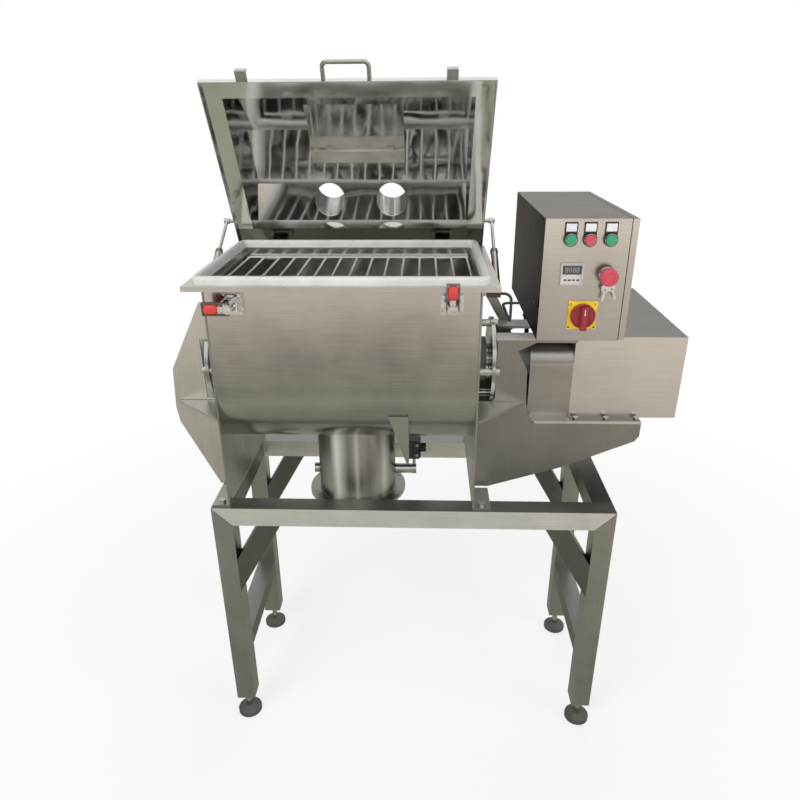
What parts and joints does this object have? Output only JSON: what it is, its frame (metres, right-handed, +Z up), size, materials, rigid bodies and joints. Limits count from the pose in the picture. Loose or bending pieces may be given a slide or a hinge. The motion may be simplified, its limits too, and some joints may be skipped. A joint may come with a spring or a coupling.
{
  "type": "ribbon blender",
  "caption": "Stainless ribbon blender: U-shaped trough with a twin-ribbon shaft, lid on gas springs, safety grate, valved discharge spout, geared drive and control box on a tube stand.",
  "frame": {"origin": "middle of the machine's footprint (bounding box) on the floor plane", "axes": "+X to the drive end, +Y to the rear (the lid's hinge side), +Z up"},
  "size_m": [1.253, 0.6654, 1.7152],
  "materials": {
    "stainless": "brushed",
    "polished": "polished",
    "black_rubber": "matte",
    "white_silicone": "satin",
    "red_plastic": "gloss",
    "green_plastic": "gloss",
    "black_plastic": "matte",
    "yellow_plastic": "satin",
    "pale_plastic": "matte",
    "grey_metal": "satin",
    "grey_alloy": "satin"
  },
  "bodies": {
    "machine": {"bearing_plates": "stainless", "bearings": "grey_alloy", "bolts": "polished", "button_holders": "black_plastic", "clamp_bases": "stainless", "control_box": "stainless", "coupling_guard": "stainless", "door_hinge_pins": "stainless", "drive_base": "stainless", "end_plates": "stainless", "estop_base": "grey_metal", "foot_pads": "black_rubber", "foot_stems": "polished", "frame_ties": "stainless", "gasket": "white_silicone", "gear_motor": "grey_alloy", "left_side_plates": "stainless", "legs": "stainless", "lid_brackets": "stainless", "long_beams": "stainless", "motor_cover": "stainless", "panel_internals": "black_plastic", "right_side_plates": "stainless", "rim": "stainless", "safety_grate": "polished", "sensor_and_leads": "black_rubber", "speed_meter": "pale_plastic", "spout": "stainless", "switch_plate": "yellow_plastic", "trough_shell": "stainless"},
    "lid": {"lid_shell": "polished", "lid_ports": "polished", "lid_fittings": "polished"},
    "hatch": {"hatch_cover": "polished", "hatch_knob": "black_plastic"},
    "gas_barrel_l": {"gas_barrel_left": "grey_metal"},
    "gas_barrel_r": {"gas_barrel_right": "grey_metal"},
    "gas_rod_l": {"gas_rod_left": "polished"},
    "gas_rod_r": {"gas_rod_right": "polished"},
    "agitator": {"agitator_shaft": "polished", "agitator_arms": "polished", "outer_ribbons": "polished", "inner_ribbons": "polished", "coupling": "stainless"},
    "valve": {"discharge_valve": "stainless", "lever_head": "black_plastic", "head_bolts": "polished"},
    "start": {"start_button": "green_plastic"},
    "stop": {"stop_button": "red_plastic"},
    "jog": {"jog_button": "green_plastic"},
    "estop": {"estop_button": "red_plastic"},
    "keys": {"key_ring": "polished"},
    "main_switch": {"switch_knob": "red_plastic"},
    "door": {"control_door": "stainless"},
    "clamp_l": {"clamp_lever_left": "stainless", "clamp_grip_left": "red_plastic"},
    "clamp_r": {"clamp_lever_right": "stainless", "clamp_grip_right": "red_plastic"}
  },
  "joints": [
    {"name": "lid_hinge", "type": "hinge", "parent": "machine", "child": "lid", "pos_m": [-0.1825, 0.15275, 1.241], "axis": [1, 0, 0], "range_deg": [0, 62]},
    {"name": "hatch_hinge", "type": "hinge", "parent": "lid", "child": "hatch", "pos_m": [-0.1825, 0.22666, 1.49775], "axis": [1, 0, 0], "range_deg": [-100, 0]},
    {"name": "gas_left_swing", "type": "hinge", "parent": "machine", "child": "gas_barrel_l", "pos_m": [-0.5395, -0.06525, 1.205], "axis": [1, 0, 0], "range_deg": [-1, 1.71]},
    {"name": "gas_left_slide", "type": "slide", "parent": "gas_barrel_l", "child": "gas_rod_l", "axis": [0, 0.857, 0.5153], "range_m": [-0.10006, 0.001]},
    {"name": "gas_right_swing", "type": "hinge", "parent": "machine", "child": "gas_barrel_r", "pos_m": [0.1745, -0.06525, 1.205], "axis": [1, 0, 0], "range_deg": [-1, 1.71]},
    {"name": "gas_right_slide", "type": "slide", "parent": "gas_barrel_r", "child": "gas_rod_r", "axis": [0, 0.857, 0.5153], "range_m": [-0.10006, 0.001]},
    {"name": "agitator_turn", "type": "hinge", "parent": "machine", "child": "agitator", "pos_m": [-0.1825, -0.08525, 1.034], "axis": [1, 0, 0], "continuous": true},
    {"name": "valve_turn", "type": "hinge", "parent": "machine", "child": "valve", "pos_m": [-0.1825, -0.08525, 0.713], "axis": [1, 0, 0], "range_deg": [0, 90]},
    {"name": "start_press", "type": "slide", "parent": "machine", "child": "start", "axis": [0, 1, 0], "range_m": [0, 0.004], "stiffness_N_per_m": 600, "springref_m": -0.002},
    {"name": "stop_press", "type": "slide", "parent": "machine", "child": "stop", "axis": [0, 1, 0], "range_m": [0, 0.004], "stiffness_N_per_m": 600, "springref_m": -0.002},
    {"name": "jog_press", "type": "slide", "parent": "machine", "child": "jog", "axis": [0, 1, 0], "range_m": [0, 0.004], "stiffness_N_per_m": 600, "springref_m": -0.002},
    {"name": "estop_press", "type": "slide", "parent": "machine", "child": "estop", "axis": [0, 1, 0], "range_m": [0, 0.005]},
    {"name": "key_swing", "type": "hinge", "parent": "machine", "child": "keys", "pos_m": [0.4075, -0.18275, 1.268], "axis": [0, 1, 0], "range_deg": [-40, 40]},
    {"name": "switch_turn", "type": "hinge", "parent": "machine", "child": "main_switch", "pos_m": [0.3615, -0.16925, 1.174], "axis": [0, 1, 0], "range_deg": [0, 90]},
    {"name": "door_swing", "type": "hinge", "parent": "machine", "child": "door", "pos_m": [0.4535, 0.32775, 1.2515], "axis": [0, 0, 1], "range_deg": [0, 110]},
    {"name": "clamp_left_swing", "type": "hinge", "parent": "machine", "child": "clamp_l", "pos_m": [-0.4205, -0.32325, 1.23], "axis": [0, 1, 0], "range_deg": [0, 95]},
    {"name": "clamp_right_swing", "type": "hinge", "parent": "machine", "child": "clamp_r", "pos_m": [0.0555, -0.32325, 1.23], "axis": [0, 1, 0], "range_deg": [-95, 0]}
  ],
  "couplings": [
    {"joint": "gas_left_swing", "follows": "lid_hinge", "ratio": 0.011409},
    {"joint": "gas_right_swing", "follows": "lid_hinge", "ratio": 0.011409},
    {"joint": "gas_left_slide", "follows": "lid_hinge", "m_per_rad": -0.091547},
    {"joint": "gas_right_slide", "follows": "lid_hinge", "m_per_rad": -0.091547}
  ]
}
